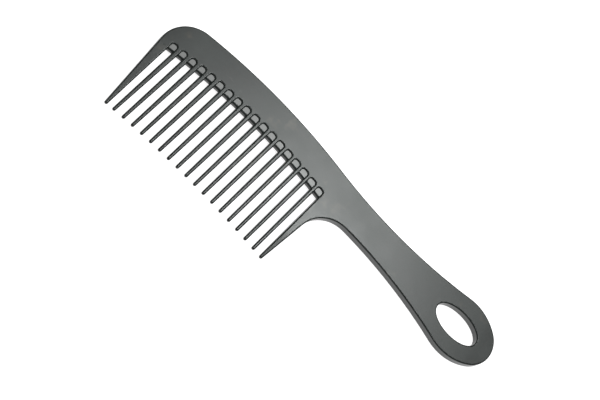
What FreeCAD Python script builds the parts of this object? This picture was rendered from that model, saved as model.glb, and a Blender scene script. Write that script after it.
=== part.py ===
import FreeCAD, Part
import math
import os
import Sketcher
from FreeCAD import Vector

# A wide tooth comb with a handle, moulded in one piece from filled plastic.
# It lies flat on z = 0: +X runs from the front of the head to the hanging ring, the teeth point
# to -Y, and the origin is under the middle of the overall box. All sizes are in millimetres.
# Each named region of the moulding is a solid of its own, and neighbours meet face to face.

DRIVING_SIZES = [
    ("overall_length", 216.0, "front of the head to the end of the ring"),
    ("thickness", 4.8, "plate, handle and ring"),
    ("edge_round", 0.7, "rounding of every long edge of plate, handle and ring"),
    ("back_radius", 336.0, "convex back of the head"),
    ("back_crown_x", -30.5, "highest point of the back"),
    ("back_crown_y", 30.95, "highest point of the back"),
    ("spine_width", 18.55, "back to the foot of the teeth, the same all along"),
    ("corner_radius", 17.5, "front corner of the head"),
    ("front_lean", 6.15, "degrees that the front edge leans from the teeth"),
    ("neck_radius", 287.0, "hollow of the upper edge from head to ring"),
    ("grip_radius", 265.0, "hollow of the lower edge from heel to ring"),
    ("grip_crown_x", 31.0, "highest point of the grip's lower edge"),
    ("heel_radius", 17.0, "inner corner between the rear guard tooth and the grip"),
    ("rear_lean", 4.7, "degrees that the rear edge leans from the teeth"),
    ("rear_root_x", 0.1, "outer side of the rear guard tooth at its root"),
    ("rear_root_y", -5.8, "root of the rear guard tooth"),
    ("ring_x", 87.448, "middle of the ring"),
    ("ring_y", 21.58, "middle of the ring"),
    ("ring_tilt", 3.5, "degrees that the ring and its hole rise towards the end"),
    ("ring_width", 31.1, "across the ring"),
    ("ring_side_radius", 25.5, "flanks of the ring"),
    ("ring_end_radius", 13.0, "end of the ring"),
    ("hole_x", 85.65, "middle of the hanging hole"),
    ("hole_y", 21.5, "middle of the hanging hole"),
    ("hole_half_length", 12.8, "hanging hole along the ring"),
    ("hole_half_width", 6.7, "hanging hole across the ring"),
    ("first_tooth_x", -97.764, "middle of the first inner tooth"),
    ("first_pitch", 5.48, "from the first inner tooth to the second"),
    ("pitch_growth", 0.0162, "each pitch is this much wider than the one before it"),
    ("root_width_front", 2.6, "first inner tooth at its root"),
    ("root_width_rear", 2.02, "last inner tooth at its root"),
    ("tip_width", 1.8, "every tooth at its tip"),
    ("tip_thickness", 1.7, "every tooth at its tip"),
    ("tooth_round", 0.75, "rounding of the teeth along their sides and tips"),
    ("thinning_radius", 150.0, "where a tooth's faces turn from level to sloping"),
    ("front_inner_x", -102.1, "inner side of the front guard tooth at its root"),
    ("rear_inner_x", -3.7, "inner side of the rear guard tooth at its root"),
    ("tip_line_radius", 534.0, "arc that all tips end on"),
    ("tip_line_crown_x", -20.0, "highest point of that arc"),
    ("tip_line_crown_y", -31.08, "highest point of that arc"),
    ("pocket_length", 3.65, "shallow pocket above each gap, beyond the foot of the teeth"),
    ("pocket_depth", 0.8, "pocket, in each face"),
    ("pocket_corner", 1.2, "corner radius of the pocket's closed end"),
    ("web_round", 0.9, "rounding of the thin web between two pockets"),
    ("grip_start_x", 16.0, "head plate to handle"),
    ("ring_start_x", 68.0, "handle to ring"),
]
INNER_TEETH = 17
CLEARANCE = 5.0  # how far construction boxes and cuts reach past the comb
THINNING_LEAD = 0.5  # a tooth starts to thin this far above its foot, inside the plate's edge
SAME_PLACE = 0.01  # two measures this close belong to the same edge
LEAST_CUT = 1.0  # cubic millimetres that the pockets remove at the very least
UP = Vector(0, 0, 1)

doc = FreeCAD.newDocument("wide_tooth_comb")
sheet = doc.addObject("Spreadsheet::Sheet", "Dims")
for row, (alias, value, meaning) in enumerate(DRIVING_SIZES, start=1):
    sheet.set(f"A{row}", meaning)
    sheet.set(f"B{row}", str(value))
    sheet.setAlias(f"B{row}", alias)
doc.recompute()


def size(alias):
    return float(sheet.get(alias))


def above(centre, radius, x):
    """The point of a circle over x."""
    return Vector(x, centre.y + math.sqrt(radius ** 2 - (x - centre.x) ** 2), 0)


def towards(start, goal, distance):
    """The point at a distance from start on the way to goal."""
    return start + (goal - start).normalize() * distance


def turned(along, across):
    """A step along and across the ring, in the comb's own X and Y."""
    tilt = math.radians(size("ring_tilt"))
    return Vector(along * math.cos(tilt) - across * math.sin(tilt),
                  along * math.sin(tilt) + across * math.cos(tilt), 0)


# Centres of the arcs that more than one outline uses.
back_centre = Vector(size("back_crown_x"), size("back_crown_y") - size("back_radius"), 0)
root_radius = size("back_radius") - size("spine_width")
BACK_CENTRE_RULE = ("Dims.back_crown_x", "Dims.back_crown_y - Dims.back_radius")
ROOT_RADIUS_RULE = "Dims.back_radius - Dims.spine_width"


def tooth_middle(number):
    """Middle of an inner tooth, as a number and as a rule of the sheet."""
    growths = number * (number - 1) / 2
    rule = f"Dims.first_tooth_x + {number} * Dims.first_pitch + {growths} * Dims.pitch_growth"
    value = size("first_tooth_x") + number * size("first_pitch") + growths * size("pitch_growth")
    return value, rule


def tooth_half_width(number):
    """Half of an inner tooth's width at its root, as a number and as a rule."""
    share = number / (INNER_TEETH - 1)
    front = size("root_width_front")
    rear = size("root_width_rear")
    rule = f"(Dims.root_width_front + {share} * (Dims.root_width_rear - Dims.root_width_front)) / 2"
    return (front + share * (rear - front)) / 2, rule


def tooth_side(number, side):
    """X of one side of an inner tooth at its root, side being -1 or +1."""
    middle, middle_rule = tooth_middle(number)
    half, half_rule = tooth_half_width(number)
    sign = "+" if side > 0 else "-"
    return middle + side * half, f"{middle_rule} {sign} {half_rule}"


class Profile:
    """A sketch whose outline starts in place and is then held by rules of the sheet."""

    def __init__(self, body, name, role):
        self.sketch = body.newObject("Sketcher::SketchObject", name)
        for feature in body.Origin.OriginFeatures:
            if feature.Role == role:
                self.sketch.AttachmentSupport = [(feature, "")]
        self.sketch.MapMode = "FlatFace"
        self.waiting = []
        self.rules = []

    def line(self, start, end):
        return self.sketch.addGeometry(Part.LineSegment(start, end), False)

    def arc(self, centre, start, end):
        """An arc that runs anticlockwise from start to end."""
        first = math.atan2(start.y - centre.y, start.x - centre.x)
        last = math.atan2(end.y - centre.y, end.x - centre.x)
        if last < first:
            last += 2 * math.pi
        circle = Part.Circle(centre, UP, (start - centre).Length)
        return self.sketch.addGeometry(Part.ArcOfCircle(circle, first, last), False)

    def join(self, kind, one, one_end, other, other_end):
        """kind is Coincident, or Tangent for a smooth join; an end is 1 or 2."""
        self.waiting.append(Sketcher.Constraint(kind, one, one_end, other, other_end))

    def hold(self, kind, *where_and_value, rule):
        """A measured constraint whose value follows the sheet."""
        self.rules.append((len(self.waiting), rule))
        self.waiting.append(Sketcher.Constraint(kind, *where_and_value))

    def place(self, item, end, point, rule_x, rule_y):
        self.hold("DistanceX", item, end, point.x, rule=rule_x)
        self.hold("DistanceY", item, end, point.y, rule=rule_y)

    def finish(self):
        indices = self.sketch.addConstraint(self.waiting)
        for number, rule in self.rules:
            name = f"held_{number}"
            self.sketch.renameConstraint(indices[number], name)
            self.sketch.setExpression(f"Constraints.{name}", rule)
        return self.sketch


def new_body(label):
    """A body drawn about the comb's middle plane and lifted to rest on z = 0."""
    body = doc.addObject("PartDesign::Body", label)
    body.Label = label
    body.setExpression("Placement.Base.z", "Dims.thickness / 2")
    return body


def pad_full_thickness(body, sketch):
    pad = body.newObject("PartDesign::Pad", body.Name + "_pad")
    pad.Profile = sketch
    pad.SideType = "Symmetric"
    pad.setExpression("Length", "Dims.thickness")
    sketch.Visibility = False
    doc.recompute()
    return pad


def mirror_to_underside(body, feature):
    mirror = body.newObject("PartDesign::Mirrored", body.Name + "_underside")
    mirror.Originals = [feature]
    for plane in body.Origin.OriginFeatures:
        if plane.Role == "XY_Plane":
            mirror.MirrorPlane = (plane, [""])
    body.Tip = mirror
    doc.recompute()
    return mirror


def round_edges(body, base, wanted, radius_rule, name):
    """Round the edges of base that wanted() picks."""
    names = [f"Edge{i}" for i, edge in enumerate(base.Shape.Edges, start=1) if wanted(edge)]
    fillet = body.newObject("PartDesign::Fillet", body.Name + name)
    fillet.Base = (base, names)
    fillet.setExpression("Radius", radius_rule)
    body.Tip = fillet
    doc.recompute()
    return fillet


def moulding():
    """Head plate, handle and ring in one outline, before it is divided."""
    body = new_body("moulding")
    plate = pad_full_thickness(body, outline(body))
    cut = body.newObject("PartDesign::Pocket", "pockets_upper")
    cut.Profile = pocket_profiles(body)
    cut.Type = "ThroughAll"
    cut.Reversed = True
    body.Tip = cut
    doc.recompute()
    if cut.Shape.Volume > plate.Shape.Volume - LEAST_CUT:
        raise SystemExit("the pockets cut nothing")
    pockets = mirror_to_underside(body, cut)
    corners = round_edges(body, pockets, is_pocket_corner, "Dims.pocket_corner", "_corners")
    webs = round_edges(body, corners, is_web_edge, "Dims.web_round", "_webs")
    return round_edges(body, webs, is_long_edge, "Dims.edge_round", "_rounding")


def outline(body):
    """Outline of the plate: smooth arcs from the front edge round the ring to the heel."""
    back_radius = size("back_radius")
    corner_radius = size("corner_radius")
    neck_radius = size("neck_radius")
    side_radius = size("ring_side_radius")
    end_radius = size("ring_end_radius")
    grip_radius = size("grip_radius")
    heel_radius = size("heel_radius")

    # Ring: two flanks and an end arc about its tilted middle line.
    ring = Vector(size("ring_x"), size("ring_y"), 0)
    inset = side_radius - size("ring_width") / 2
    reach = math.sqrt((side_radius - end_radius) ** 2 - inset ** 2)
    upper = ring + turned(0, -inset)
    lower = ring + turned(0, inset)
    end = ring + turned(reach, 0)

    # Corner, neck and grip touch their neighbours, which fixes their centres.
    corner_x = corner_radius - size("overall_length") / 2
    corner = above(back_centre, back_radius - corner_radius, corner_x)
    neck = meeting(back_centre, back_radius + neck_radius, upper, neck_radius + side_radius)
    grip_x = size("grip_crown_x")
    drop = math.sqrt((grip_radius + side_radius) ** 2 - (lower.x - grip_x) ** 2)
    grip = Vector(grip_x, lower.y - drop, 0)

    # Rear edge: a straight line that the heel's arc touches.
    lean = math.radians(size("rear_lean"))
    rear_root = Vector(size("rear_root_x"), size("rear_root_y"), 0)
    rear_way = Vector(math.sin(lean), math.cos(lean), 0)
    beside = rear_root + Vector(rear_way.y, -rear_way.x, 0) * heel_radius
    offset = beside - grip
    slide = offset.dot(rear_way)
    gap = (grip_radius - heel_radius) ** 2
    travel = math.sqrt(slide ** 2 - offset.dot(offset) + gap) - slide
    heel = beside + rear_way * travel

    # Front edge: touches the corner and leans down to the foot of the teeth.
    lean = math.radians(size("front_lean"))
    front_top = corner - Vector(math.cos(lean), math.sin(lean), 0) * corner_radius
    front_way = Vector(math.sin(lean), -math.cos(lean), 0)
    from_back = front_top - back_centre
    slide = from_back.dot(front_way)
    travel = -slide - math.sqrt(slide ** 2 - from_back.dot(from_back) + root_radius ** 2)
    front_root = front_top + front_way * travel

    inner_x = size("rear_inner_x")
    inner_top = above(back_centre, root_radius, inner_x)
    inner_low = Vector(inner_x, rear_root.y, 0)
    heel_low = rear_root + rear_way * (heel - rear_root).dot(rear_way)
    heel_high = towards(grip, heel, grip_radius)
    grip_end = towards(grip, lower, grip_radius)
    lower_end = towards(lower, end, side_radius)
    upper_start = towards(upper, end, side_radius)
    upper_end = towards(upper, neck, side_radius)
    neck_end = towards(neck, back_centre, neck_radius)
    back_end = towards(back_centre, corner, back_radius)

    profile = Profile(body, "outline", "XY_Plane")
    foot_arc = profile.arc(back_centre, inner_top, front_root)
    inner_line = profile.line(inner_top, inner_low)
    root_line = profile.line(inner_low, rear_root)
    rear_line = profile.line(rear_root, heel_low)
    heel_arc = profile.arc(heel, heel_high, heel_low)
    grip_arc = profile.arc(grip, grip_end, heel_high)
    lower_arc = profile.arc(lower, grip_end, lower_end)
    end_arc = profile.arc(end, lower_end, upper_start)
    upper_arc = profile.arc(upper, upper_start, upper_end)
    neck_arc = profile.arc(neck, neck_end, upper_end)
    back_arc = profile.arc(back_centre, neck_end, back_end)
    corner_arc = profile.arc(corner, back_end, front_top)
    front_line = profile.line(front_top, front_root)

    profile.join("Coincident", foot_arc, 1, inner_line, 1)
    profile.join("Coincident", inner_line, 2, root_line, 1)
    profile.join("Coincident", root_line, 2, rear_line, 1)
    profile.join("Tangent", rear_line, 2, heel_arc, 2)
    profile.join("Tangent", heel_arc, 1, grip_arc, 2)
    profile.join("Tangent", grip_arc, 1, lower_arc, 1)
    profile.join("Tangent", lower_arc, 2, end_arc, 1)
    profile.join("Tangent", end_arc, 2, upper_arc, 1)
    profile.join("Tangent", upper_arc, 2, neck_arc, 2)
    profile.join("Tangent", neck_arc, 1, back_arc, 1)
    profile.join("Tangent", back_arc, 2, corner_arc, 1)
    profile.join("Tangent", corner_arc, 2, front_line, 1)
    profile.join("Coincident", front_line, 2, foot_arc, 2)

    for item, radius, rule in (
            (foot_arc, root_radius, ROOT_RADIUS_RULE),
            (heel_arc, heel_radius, "Dims.heel_radius"),
            (grip_arc, grip_radius, "Dims.grip_radius"),
            (lower_arc, side_radius, "Dims.ring_side_radius"),
            (end_arc, end_radius, "Dims.ring_end_radius"),
            (upper_arc, side_radius, "Dims.ring_side_radius"),
            (neck_arc, neck_radius, "Dims.neck_radius"),
            (back_arc, back_radius, "Dims.back_radius"),
            (corner_arc, corner_radius, "Dims.corner_radius")):
        profile.hold("Radius", item, radius, rule=rule)

    inset_rule = "(Dims.ring_side_radius - Dims.ring_width / 2)"
    profile.place(foot_arc, 3, back_centre, *BACK_CENTRE_RULE)
    profile.place(back_arc, 3, back_centre, *BACK_CENTRE_RULE)
    profile.place(upper_arc, 3, upper, f"Dims.ring_x + {inset_rule} * sin(Dims.ring_tilt)",
                  f"Dims.ring_y - {inset_rule} * cos(Dims.ring_tilt)")
    profile.place(lower_arc, 3, lower, f"Dims.ring_x - {inset_rule} * sin(Dims.ring_tilt)",
                  f"Dims.ring_y + {inset_rule} * cos(Dims.ring_tilt)")
    profile.hold("DistanceX", grip_arc, 3, grip.x, rule="Dims.grip_crown_x")
    profile.hold("DistanceX", corner_arc, 3, corner.x,
                 rule="Dims.corner_radius - Dims.overall_length / 2")
    profile.place(rear_line, 1, rear_root, "Dims.rear_root_x", "Dims.rear_root_y")
    profile.place(inner_line, 2, inner_low, "Dims.rear_inner_x", "Dims.rear_root_y")
    profile.hold("DistanceX", inner_line, 1, inner_x, rule="Dims.rear_inner_x")
    profile.hold("Angle", rear_line, math.radians(90 - size("rear_lean")),
                 rule="90deg - Dims.rear_lean * 1deg")
    profile.hold("Angle", front_line, math.radians(size("front_lean") - 90),
                 rule="Dims.front_lean * 1deg - 90deg")
    hanging_hole(profile)
    return profile.finish()


def hanging_hole(profile):
    """Oval hole that follows the ring's tilt."""
    centre = Vector(size("hole_x"), size("hole_y"), 0)
    far = centre + turned(size("hole_half_length"), 0)
    side = centre + turned(0, size("hole_half_width"))
    hole = profile.sketch.addGeometry(Part.Ellipse(far, side, centre), False)
    profile.sketch.exposeInternalGeometry(hole)
    long_axis = hole + 1
    short_axis = hole + 2
    profile.place(hole, 3, centre, "Dims.hole_x", "Dims.hole_y")
    profile.hold("Distance", long_axis, 2 * size("hole_half_length"),
                 rule="2 * Dims.hole_half_length")
    profile.hold("Distance", short_axis, 2 * size("hole_half_width"),
                 rule="2 * Dims.hole_half_width")
    profile.hold("Angle", long_axis, math.radians(size("ring_tilt") - 180),
                 rule="Dims.ring_tilt * 1deg - 180deg")


def meeting(one, one_radius, other, other_radius):
    """The upper left crossing of two circles."""
    way = other - one
    span = way.Length
    along = (one_radius ** 2 - other_radius ** 2 + span ** 2) / (2 * span)
    aside = math.sqrt(one_radius ** 2 - along ** 2)
    way = way.normalize()
    return one + way * along + Vector(-way.y, way.x, 0) * aside


def gap_sides(number):
    """The two walls of the gap before inner tooth number, each a value and a rule."""
    left = (size("front_inner_x"), "Dims.front_inner_x")
    right = (size("rear_inner_x"), "Dims.rear_inner_x")
    if number > 0:
        left = tooth_side(number - 1, +1)
    if number < INNER_TEETH:
        right = tooth_side(number, -1)
    return left, right


def pocket_profiles(body):
    """One shallow pocket above every gap, as wide as the gap, closed by an arc."""
    profile = Profile(body, "pocket_outlines", "XY_Plane")
    profile.sketch.setExpression("AttachmentOffset.Base.z", "Dims.thickness / 2 - Dims.pocket_depth")
    closed_radius = root_radius + size("pocket_length")
    open_radius = root_radius - CLEARANCE
    for number in range(INNER_TEETH + 1):
        (left, left_rule), (right, right_rule) = gap_sides(number)
        corners = [above(back_centre, radius, x)
                   for radius in (open_radius, closed_radius) for x in (left, right)]
        open_arc = profile.arc(back_centre, corners[1], corners[0])
        closed_arc = profile.arc(back_centre, corners[3], corners[2])
        left_line = profile.line(corners[0], corners[2])
        right_line = profile.line(corners[1], corners[3])
        profile.join("Coincident", open_arc, 1, right_line, 1)
        profile.join("Coincident", open_arc, 2, left_line, 1)
        profile.join("Coincident", closed_arc, 1, right_line, 2)
        profile.join("Coincident", closed_arc, 2, left_line, 2)
        profile.place(open_arc, 3, back_centre, *BACK_CENTRE_RULE)
        profile.place(closed_arc, 3, back_centre, *BACK_CENTRE_RULE)
        profile.hold("Radius", open_arc, open_radius, rule=f"{ROOT_RADIUS_RULE} - {CLEARANCE}")
        profile.hold("Radius", closed_arc, closed_radius,
                     rule=f"{ROOT_RADIUS_RULE} + Dims.pocket_length")
        for line, x, rule in ((left_line, left, left_rule), (right_line, right, right_rule)):
            profile.hold("DistanceX", line, 1, x, rule=rule)
            profile.hold("DistanceX", line, 2, x, rule=rule)
    return profile.finish()


def ends(edge):
    return [vertex.Point for vertex in edge.Vertexes]


def from_back(point):
    """Distance of a point from the axis of the back's arc."""
    return math.hypot(point.x - back_centre.x, point.y - back_centre.y)


def is_pocket_corner(edge):
    """An upright edge at the closed end of a pocket."""
    closed_radius = root_radius + size("pocket_length")
    points = ends(edge)
    if len(points) != 2:
        return False
    upright = abs(points[0].z - points[1].z) > SAME_PLACE
    return upright and abs(from_back(points[0]) - closed_radius) < SAME_PLACE


def is_web_edge(edge):
    """An edge between a pocket's floor and the end of the thin web under it."""
    floor = size("thickness") / 2 - size("pocket_depth")
    box = edge.BoundBox
    level = box.ZLength < SAME_PLACE and abs(abs(box.ZMax) - floor) < SAME_PLACE
    return level and all(is_at_foot(point) for point in ends(edge))


def is_at_foot(point):
    return abs(from_back(point) - root_radius) < SAME_PLACE


def is_long_edge(edge):
    """An edge of the upper or lower face that stays open to the air."""
    if not on_outer_face(edge):
        return False
    points = ends(edge)
    on_foot = all(is_at_foot(point) for point in points)
    on_rear_root = all(abs(point.y - size("rear_root_y")) < SAME_PLACE for point in points)
    return not (on_foot or on_rear_root)


def on_outer_face(edge):
    box = edge.BoundBox
    half = size("thickness") / 2
    return box.ZLength < SAME_PLACE and abs(abs(box.ZMax) - half) < SAME_PLACE


def arc_height(crown, radius, x, crown_rules, radius_rule, x_rule):
    """Y of a wide arc over x, as a number and as a rule."""
    value = above(Vector(crown.x, crown.y - radius, 0), radius, x).y
    rule = (f"{crown_rules[1]} - ({radius_rule}) + sqrt(({radius_rule})^2"
            f" - ({x_rule} - {crown_rules[0]})^2)")
    return value, rule


def foot_height(x, x_rule):
    """Y of the foot of the teeth at x."""
    crown = Vector(back_centre.x, back_centre.y + root_radius, 0)
    rules = ("Dims.back_crown_x", "(Dims.back_crown_y - Dims.spine_width)")
    return arc_height(crown, root_radius, x, rules, ROOT_RADIUS_RULE, x_rule)


def tip_height(x, x_rule):
    """Y of the line of the tips at x."""
    crown = Vector(size("tip_line_crown_x"), size("tip_line_crown_y"), 0)
    rules = ("Dims.tip_line_crown_x", "Dims.tip_line_crown_y")
    return arc_height(crown, size("tip_line_radius"), x, rules, "Dims.tip_line_radius", x_rule)


def touching(start, centre, side):
    """Where a line from start touches the round tip about centre, side being -1 or +1 in X."""
    way = centre - start
    radius = size("tip_width") / 2
    turn = side * math.asin(radius / way.Length)
    length = math.sqrt(way.Length ** 2 - radius ** 2)
    way = way.normalize()
    return start + Vector(way.x * math.cos(turn) - way.y * math.sin(turn),
                          way.x * math.sin(turn) + way.y * math.cos(turn), 0) * length


def tooth(label, draw_outline, x, x_rule, foot):
    """A tooth: its outline at full thickness, thinned evenly to the tip, then rounded."""
    tip = tip_height(x, x_rule)
    start = (foot[0] + THINNING_LEAD, f"{foot[1]} + {THINNING_LEAD}")
    body = new_body(label)
    profile = Profile(body, label + "_outline", "XY_Plane")
    draw_outline(profile, tip)
    pad_full_thickness(body, profile.finish())
    cut = body.newObject("PartDesign::Pocket", label + "_thinning")
    cut.Profile = thinning(body, label, start, tip)
    cut.Type = "ThroughAll"
    cut.SideType = "Symmetric"
    body.Tip = cut
    doc.recompute()
    both = mirror_to_underside(body, cut)
    half_way = (foot[0] + tip[0]) / 2

    def is_rim(edge):
        box = edge.BoundBox
        crosses_middle = box.ZMin < -SAME_PLACE and box.ZMax > SAME_PLACE
        return box.YMin < half_way and not crosses_middle

    round_edges(body, both, is_rim, "Dims.tooth_round", "_rounding")
    return body


def thinning(body, label, start, tip):
    """Side view of what is cut above a tooth: level at its foot, then a slope down to the tip."""
    start_y, start_rule = start
    tip_y, tip_rule = tip
    half = size("thickness") / 2
    tip_half = size("tip_thickness") / 2
    radius = size("thinning_radius")
    past_tip = tip_y - CLEARANCE
    centre = Vector(start_y, half - radius, 0)
    level = Vector(start_y, half, 0)
    tip_top = Vector(tip_y, tip_half, 0)
    slope = tip_top - centre
    turn = math.atan2(slope.y, slope.x) - math.acos(radius / slope.Length)
    touch = centre + Vector(math.cos(turn), math.sin(turn), 0) * radius
    beyond_low = Vector(past_tip, tip_half, 0)
    beyond_high = Vector(past_tip, half + CLEARANCE, 0)
    over_start = Vector(start_y, half + CLEARANCE, 0)

    profile = Profile(body, label + "_side", "YZ_Plane")
    bend = profile.arc(centre, level, touch)
    ramp = profile.line(touch, tip_top)
    shelf = profile.line(tip_top, beyond_low)
    rise = profile.line(beyond_low, beyond_high)
    lid = profile.line(beyond_high, over_start)
    fall = profile.line(over_start, level)
    profile.join("Tangent", bend, 2, ramp, 1)
    profile.join("Coincident", ramp, 2, shelf, 1)
    profile.join("Coincident", shelf, 2, rise, 1)
    profile.join("Coincident", rise, 2, lid, 1)
    profile.join("Coincident", lid, 2, fall, 1)
    profile.join("Coincident", fall, 2, bend, 1)
    high_rule = f"Dims.thickness / 2 + {CLEARANCE}"
    profile.hold("Radius", bend, radius, rule="Dims.thinning_radius")
    profile.place(bend, 1, level, start_rule, "Dims.thickness / 2")
    profile.hold("DistanceX", bend, 3, start_y, rule=start_rule)
    profile.place(ramp, 2, tip_top, tip_rule, "Dims.tip_thickness / 2")
    profile.place(shelf, 2, beyond_low, f"{tip_rule} - {CLEARANCE}", "Dims.tip_thickness / 2")
    profile.place(rise, 2, beyond_high, f"{tip_rule} - {CLEARANCE}", high_rule)
    profile.place(lid, 2, over_start, start_rule, high_rule)
    return profile.finish()


def draw_tip(profile, left, right, centre, tip):
    """Both long sides of a tooth and the round tip between them."""
    radius = size("tip_width") / 2
    left_touch = touching(left, centre, -1)
    right_touch = touching(right, centre, +1)
    left_line = profile.line(left, left_touch)
    right_line = profile.line(right, right_touch)
    tip_arc = profile.arc(centre, left_touch, right_touch)
    profile.join("Tangent", left_line, 2, tip_arc, 1)
    profile.join("Tangent", right_line, 2, tip_arc, 2)
    profile.hold("Radius", tip_arc, radius, rule="Dims.tip_width / 2")
    profile.hold("DistanceY", tip_arc, 3, centre.y, rule=f"{tip[1]} + Dims.tip_width / 2")
    return left_line, right_line, tip_arc


def draw_foot(profile, left, right, left_line, right_line):
    """The foot of a tooth, on the arc that the head plate ends in."""
    foot_arc = profile.arc(back_centre, right, left)
    profile.join("Coincident", foot_arc, 1, right_line, 1)
    profile.join("Coincident", foot_arc, 2, left_line, 1)
    profile.place(foot_arc, 3, back_centre, *BACK_CENTRE_RULE)
    profile.hold("Radius", foot_arc, root_radius, rule=ROOT_RADIUS_RULE)


def inner_tooth(number):
    """One of the equal slim teeth between the two guard teeth."""
    middle, middle_rule = tooth_middle(number)
    sides = [tooth_side(number, side) for side in (-1, +1)]

    def draw(profile, tip):
        left, right = (above(back_centre, root_radius, x) for x, _ in sides)
        centre = Vector(middle, tip[0] + size("tip_width") / 2, 0)
        left_line, right_line, tip_arc = draw_tip(profile, left, right, centre, tip)
        draw_foot(profile, left, right, left_line, right_line)
        profile.hold("DistanceX", tip_arc, 3, middle, rule=middle_rule)
        profile.hold("DistanceX", left_line, 1, left.x, rule=sides[0][1])
        profile.hold("DistanceX", right_line, 1, right.x, rule=sides[1][1])

    foot = foot_height(middle, middle_rule)
    return tooth(f"tooth_{number + 1:02d}", draw, middle, middle_rule, foot)


def front_guard_tooth():
    """The broad tooth that carries on the front edge of the head."""
    lean = math.radians(size("front_lean"))
    inward = Vector(math.cos(lean), math.sin(lean), 0)
    down = Vector(math.sin(lean), -math.cos(lean), 0)
    corner_radius = size("corner_radius")
    corner_x = corner_radius - size("overall_length") / 2
    corner_rule = "(Dims.corner_radius - Dims.overall_length / 2)"
    corner = above(back_centre, size("back_radius") - corner_radius, corner_x)
    corner_y_rule = ("Dims.back_crown_y - Dims.back_radius + sqrt((Dims.back_radius"
                     f" - Dims.corner_radius)^2 - ({corner_rule} - Dims.back_crown_x)^2)")
    inner_x = size("front_inner_x")

    def draw(profile, tip):
        radius = size("tip_width") / 2
        tip_y = tip[0] + radius
        travel = (corner - inward * (corner_radius - radius)).y - tip_y
        centre = corner - inward * (corner_radius - radius) + down * (travel / -down.y)
        edge_point = corner - inward * corner_radius
        from_back = edge_point - back_centre
        slide = from_back.dot(down)
        reach = -slide - math.sqrt(slide ** 2 - from_back.dot(from_back) + root_radius ** 2)
        left = edge_point + down * reach
        right = above(back_centre, root_radius, inner_x)
        left_line, right_line, tip_arc = draw_tip(profile, left, right, centre, tip)
        draw_foot(profile, left, right, left_line, right_line)
        profile.hold("DistanceX", right_line, 1, inner_x, rule="Dims.front_inner_x")
        profile.hold("Angle", left_line, math.radians(size("front_lean") - 90),
                     rule="Dims.front_lean * 1deg - 90deg")
        middle = profile.sketch.addGeometry(Part.Point(corner), True)
        profile.place(middle, 1, corner, corner_rule, corner_y_rule)
        profile.hold("Distance", middle, 1, left_line, corner_radius, rule="Dims.corner_radius")

    foot = foot_height(inner_x, "Dims.front_inner_x")
    return tooth("front_guard_tooth", draw, inner_x, "Dims.front_inner_x", foot)


def rear_guard_tooth():
    """The tapering tooth that carries on the heel."""
    lean = math.radians(size("rear_lean"))
    inner_x = size("rear_inner_x")
    root_y = size("rear_root_y")

    def draw(profile, tip):
        radius = size("tip_width") / 2
        tip_y = tip[0] + radius
        left = Vector(inner_x, root_y, 0)
        right = Vector(size("rear_root_x"), root_y, 0)
        inward = Vector(-math.cos(lean), math.sin(lean), 0)
        down = Vector(-math.sin(lean), -math.cos(lean), 0)
        start = right + inward * radius
        centre = start + down * ((start.y - tip_y) / -down.y)
        left_line, right_line, tip_arc = draw_tip(profile, left, right, centre, tip)
        root_line = profile.line(left, right)
        profile.join("Coincident", root_line, 1, left_line, 1)
        profile.join("Coincident", root_line, 2, right_line, 1)
        profile.place(root_line, 1, left, "Dims.rear_inner_x", "Dims.rear_root_y")
        profile.place(root_line, 2, right, "Dims.rear_root_x", "Dims.rear_root_y")
        profile.hold("Angle", right_line, math.radians(-90 - size("rear_lean")),
                     rule="-90deg - Dims.rear_lean * 1deg")

    foot = (root_y, "Dims.rear_root_y")
    return tooth("rear_guard_tooth", draw, inner_x, "Dims.rear_inner_x", foot)


def region(label, whole, start_rule, end_rule):
    """The stretch of the moulding between two places along X."""
    box = doc.addObject("Part::Box", label + "_zone")
    box.setExpression("Width", "2 * Dims.overall_length")
    box.setExpression("Length", f"{end_rule} - ({start_rule})")
    box.setExpression("Height", f"Dims.thickness + 2 * {CLEARANCE}")
    box.setExpression("Placement.Base.x", start_rule)
    box.setExpression("Placement.Base.y", "-Dims.overall_length")
    box.setExpression("Placement.Base.z", f"-{CLEARANCE}")
    part = doc.addObject("Part::Common", label)
    part.Label = label
    part.Base = whole
    part.Tool = box
    return part


whole = moulding().getParentGeoFeatureGroup()
parts = [
    region("spine", whole, f"-Dims.overall_length / 2 - {CLEARANCE}", "Dims.grip_start_x"),
    region("handle", whole, "Dims.grip_start_x", "Dims.ring_start_x"),
    region("hanging_ring", whole, "Dims.ring_start_x", f"Dims.overall_length / 2 + {CLEARANCE}"),
    front_guard_tooth(),
    rear_guard_tooth(),
]
parts += [inner_tooth(number) for number in range(INNER_TEETH)]
doc.recompute()

for item in doc.Objects:
    if "Invalid" in item.State or "Error" in item.State:
        raise SystemExit(f"{item.Label} failed: {item.State}")
os.makedirs("parts", exist_ok=True)
for part in parts:
    shape = part.Shape
    if shape.isNull() or not shape.isValid() or len(shape.Solids) != 1:
        raise SystemExit(f"{part.Label} isn't one valid solid")
    shape.exportStep(f"parts/{part.Label}.step")
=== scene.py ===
import math
import bpy
from mathutils import Matrix, Vector


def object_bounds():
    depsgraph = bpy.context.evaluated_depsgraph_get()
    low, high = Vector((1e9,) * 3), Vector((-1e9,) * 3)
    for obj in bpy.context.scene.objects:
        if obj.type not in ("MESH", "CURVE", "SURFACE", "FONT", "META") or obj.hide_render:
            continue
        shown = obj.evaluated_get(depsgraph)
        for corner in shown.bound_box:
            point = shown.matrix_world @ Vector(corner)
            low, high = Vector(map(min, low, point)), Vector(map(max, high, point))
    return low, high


# Looks of a one-piece satin black plastic comb that lies flat on a white studio floor.
# The comb is the CAD frame itself: this script gives it its plastic, the floor, light and camera.
# Everything is in metres, in the frame of the CAD model: +X to the ring, -Y to the tooth tips.

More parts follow.
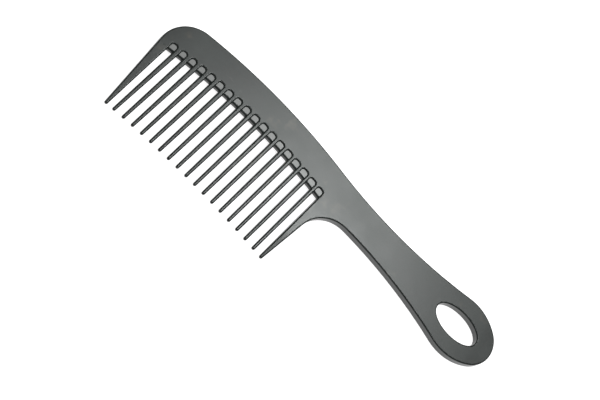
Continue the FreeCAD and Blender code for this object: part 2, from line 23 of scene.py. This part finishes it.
MM = 0.001
SENSOR_WIDTH = 36.0         # millimetres, as for a full-frame camera
LENS = 126.0                # millimetres
CAMERA_AZIMUTH = 13.06      # degrees from +Y towards +X that the camera looks
CAMERA_ELEVATION = 62.0     # degrees above the floor
CAMERA_ROLL = 60.0          # degrees that the picture is turned
CAMERA_DISTANCE = 974.7 * MM
AIM = Vector((-9.02, 3.03)) * MM   # where the lens points, from the middle of the upper face

# Lamps. An azimuth and an elevation say which way a lamp shines; distances and sizes are metres.
KEY = dict(azimuth=195, elevation=65, distance=1.2, width=0.12, height=0.16, power=3.75,
           colour=(0.965, 1, 0.985))
FILL = dict(azimuth=0, elevation=90, distance=1.6, width=2.4, height=2.4, power=55,
            colour=(1, 1, 1), in_gloss=False)
SURROUND = 0.18             # strength of the even light from all round

# The floor glows a little, so that the comb leaves almost no shadow on it.
FLOOR_SIZE = 40             # times the comb's length
FLOOR_GAP = 0.02 * MM       # between the floor and the comb's underside
FLOOR_COLOUR = (0.45, 0.45, 0.45, 1)
FLOOR_GLOW = 0.8

# The plastic's colours, and the range of its roughness.
DARK = (0.0035, 0.0048, 0.0043, 1)
LIGHT = (0.0110, 0.0140, 0.0128, 1)
WARM = (0.0420, 0.0330, 0.0230, 1)
SCUFF = (0.1100, 0.1080, 0.1000, 1)
# The pocket floors' colour below is painted light: it is paler, to stand in for the light the
# floors catch.
POCKET_PAINTED_LIGHT = (0.095, 0.097, 0.095, 1)
SMOOTHEST = 0.285
ROUGHEST = 0.325
PLASTIC_IOR = 1.5
BUMP_STRENGTH = 0.10
BUMP_HEIGHT = 0.05 * MM

POCKET_DEPTH = 0.8 * MM
POCKET_MARGIN = 0.02 * MM   # how far from that depth still counts as a pocket's floor
LEVEL = 0.999               # a face whose normal rises at least this much is level

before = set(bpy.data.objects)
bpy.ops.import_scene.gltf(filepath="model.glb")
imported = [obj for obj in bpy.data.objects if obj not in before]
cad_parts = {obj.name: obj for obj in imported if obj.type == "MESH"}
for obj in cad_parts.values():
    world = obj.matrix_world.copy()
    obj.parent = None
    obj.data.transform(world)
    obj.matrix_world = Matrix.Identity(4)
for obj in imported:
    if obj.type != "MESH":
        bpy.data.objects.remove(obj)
cad_low, cad_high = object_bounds()
middle = (cad_low + cad_high) / 2
length = cad_high.x - cad_low.x
thickness = cad_high.z - cad_low.z


def look_from(azimuth, elevation, roll, distance, aim):
    """A placement that looks at aim, for a camera or a lamp."""
    turn = Matrix.Rotation(math.radians(-azimuth), 4, "Z")
    tilt = Matrix.Rotation(math.radians(90 - elevation), 4, "X")
    spin = Matrix.Rotation(math.radians(roll), 4, "Z")
    return Matrix.Translation(aim) @ turn @ tilt @ spin @ Matrix.Translation((0, 0, distance))


def add(name, data):
    thing = bpy.data.objects.new(name, data)
    bpy.context.scene.collection.objects.link(thing)
    return thing


def make_camera():
    data = bpy.data.cameras.new("camera")
    data.lens = LENS
    data.sensor_width = SENSOR_WIDTH
    camera = add("camera", data)
    aim = Vector((middle.x + AIM.x, middle.y + AIM.y, cad_high.z))
    camera.matrix_world = look_from(CAMERA_AZIMUTH, CAMERA_ELEVATION, CAMERA_ROLL,
                                    CAMERA_DISTANCE, aim)
    bpy.context.scene.camera = camera


def softbox(name, azimuth, elevation, distance, width, height, power, colour,
            in_gloss=True):
    """A rectangular lamp that faces the comb; without in_gloss it lights but isn't mirrored."""
    data = bpy.data.lights.new(name, "AREA")
    data.shape = "RECTANGLE"
    data.size = width
    data.size_y = height
    data.energy = power
    data.color = colour
    lamp = add(name, data)
    lamp.matrix_world = look_from(azimuth, elevation, 0, distance, middle)
    lamp.visible_glossy = in_gloss


def make_floor():
    half = FLOOR_SIZE * length / 2
    mesh = bpy.data.meshes.new("floor")
    corners = [(-half, -half, 0), (half, -half, 0), (half, half, 0), (-half, half, 0)]
    mesh.from_pydata(corners, [], [(0, 1, 2, 3)])
    floor = add("floor", mesh)
    floor.location.z = cad_low.z - FLOOR_GAP
    material = bpy.data.materials.new("floor_white")
    material.use_nodes = True
    shader = material.node_tree.nodes["Principled BSDF"]
    shader.inputs["Base Color"].default_value = FLOOR_COLOUR
    shader.inputs["Roughness"].default_value = 1.0
    shader.inputs["Specular IOR Level"].default_value = 0.0
    shader.inputs["Emission Color"].default_value = (1, 1, 1, 1)
    shader.inputs["Emission Strength"].default_value = FLOOR_GLOW
    mesh.materials.append(material)


def make_world():
    world = bpy.data.worlds.new("studio")
    world.use_nodes = True
    background = world.node_tree.nodes["Background"]
    background.inputs["Color"].default_value = (1, 1, 1, 1)
    background.inputs["Strength"].default_value = SURROUND
    bpy.context.scene.world = world


class Nodes:
    """Short ways to add and join shader nodes."""

    def __init__(self, material):
        self.tree = material.node_tree

    def add(self, kind, **settings):
        node = self.tree.nodes.new(kind)
        for name, value in settings.items():
            setattr(node, name, value)
        return node

    def set(self, socket, value):
        if isinstance(value, bpy.types.NodeSocket):
            self.tree.links.new(value, socket)
        else:
            socket.default_value = value

    def noise(self, place, scale, detail=2.0, rough=0.5, stretch=(1, 1, 1)):
        mapping = self.add("ShaderNodeMapping")
        self.set(mapping.inputs["Vector"], place)
        mapping.inputs["Scale"].default_value = stretch
        noise = self.add("ShaderNodeTexNoise")
        self.set(noise.inputs["Vector"], mapping.outputs["Vector"])
        noise.inputs["Scale"].default_value = scale
        noise.inputs["Detail"].default_value = detail
        noise.inputs["Roughness"].default_value = rough
        return noise.outputs["Fac"]

    def span(self, value, low, high, to_low=0.0, to_high=1.0):
        node = self.add("ShaderNodeMapRange")
        for name, number in zip(("Value", "From Min", "From Max", "To Min", "To Max"),
                                (value, low, high, to_low, to_high)):
            self.set(node.inputs[name], number)
        return node.outputs["Result"]

    def math(self, kind, one, other=0.0):
        node = self.add("ShaderNodeMath", operation=kind)
        self.set(node.inputs[0], one)
        self.set(node.inputs[1], other)
        return node.outputs["Value"]

    def blend(self, share, one, other):
        node = self.add("ShaderNodeMix", data_type="RGBA")
        self.set(node.inputs["Factor"], share)
        self.set(node.inputs["A"], one)
        self.set(node.inputs["B"], other)
        return node.outputs["Result"]


def plastic(name, painted_pocket_light):
    """Satin plastic: cloudy tone, warm stains, fine grain, rubbed patches and hair scratches.

    The patterns lie in the comb's own frame, so that they run on from node to node.
    """
    material = bpy.data.materials.new(name)
    material.use_nodes = True
    nodes = Nodes(material)
    place = nodes.add("ShaderNodeTexCoord").outputs["Object"]

    # Patterns, each from 0 to 1. Rubs and scratches run along X and keep to some regions.
    clouds = nodes.span(nodes.noise(place, 38, 4, 0.6), 0.35, 0.65)
    stains = nodes.span(nodes.noise(place, 70, 3, 0.7), 0.60, 0.74)
    rubs = nodes.span(nodes.noise(place, 260, 5, 0.75, (0.35, 1, 1)), 0.62, 0.74)
    where = nodes.span(nodes.noise(place, 30, 1), 0.50, 0.62)
    rubs = nodes.math("MULTIPLY", rubs, where)
    scratches = nodes.span(nodes.noise(place, 900, 2, 0.5, (0.04, 1, 1)), 0.68, 0.72)
    scratches = nodes.math("MULTIPLY", scratches, where)
    grain = nodes.noise(place, 4200, 2)

    colour = nodes.blend(clouds, DARK, LIGHT)
    colour = nodes.blend(nodes.math("MULTIPLY", stains, 0.5), colour, WARM)
    colour = nodes.blend(nodes.math("MULTIPLY", rubs, 0.35), colour, SCUFF)

    rough = nodes.span(clouds, 0, 1, SMOOTHEST, ROUGHEST)
    rough = nodes.math("ADD", rough, nodes.math("MULTIPLY", rubs, 0.05))
    rough = nodes.math("SUBTRACT", rough, nodes.math("MULTIPLY", stains, 0.02))

    if painted_pocket_light:
        # Painted light: the level floors of the shallow pockets are painted paler than the faces
        # around them, to stand in for the light they catch.
        geometry = nodes.add("ShaderNodeNewGeometry")
        facing = nodes.add("ShaderNodeSeparateXYZ")
        nodes.set(facing.inputs["Vector"], geometry.outputs["Normal"])
        height = nodes.add("ShaderNodeSeparateXYZ")
        nodes.set(height.inputs["Vector"], place)
        away = nodes.math("ABSOLUTE", nodes.math("SUBTRACT", height.outputs["Z"], middle.z))
        off = nodes.math("ABSOLUTE", nodes.math("SUBTRACT", away, thickness / 2 - POCKET_DEPTH))
        floor = nodes.math("LESS_THAN", off, POCKET_MARGIN)
        rise = nodes.math("ABSOLUTE", facing.outputs["Z"])
        level = nodes.math("GREATER_THAN", rise, LEVEL)
        colour = nodes.blend(nodes.math("MULTIPLY", floor, level), colour, POCKET_PAINTED_LIGHT)

    # Grain and slow waves stand up, scratches go in.
    relief = nodes.math("ADD", nodes.math("MULTIPLY", grain, 0.6),
                        nodes.math("MULTIPLY", scratches, -0.5))
    waves = nodes.math("MULTIPLY", nodes.noise(place, 160, 2), 1.5)
    relief = nodes.math("ADD", relief, waves)
    bump = nodes.add("ShaderNodeBump")
    bump.inputs["Strength"].default_value = BUMP_STRENGTH
    bump.inputs["Distance"].default_value = BUMP_HEIGHT
    nodes.set(bump.inputs["Height"], relief)

    shader = material.node_tree.nodes["Principled BSDF"]
    nodes.set(shader.inputs["Base Color"], colour)
    nodes.set(shader.inputs["Roughness"], rough)
    nodes.set(shader.inputs["Normal"], bump.outputs["Normal"])
    shader.inputs["IOR"].default_value = PLASTIC_IOR
    return material


bpy.context.scene.view_settings.view_transform = "Standard"
make_camera()
make_world()
make_floor()
softbox("key", **KEY)
softbox("fill", **FILL)
plain = plastic("moulding", False)
# This second plastic also carries the painted light on the pocket floors.
painted_pocket_light = plastic("moulding_with_painted_pocket_light", True)
for name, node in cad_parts.items():
    node.data.materials.clear()
    node.data.materials.append(painted_pocket_light if name == "spine" else plain)
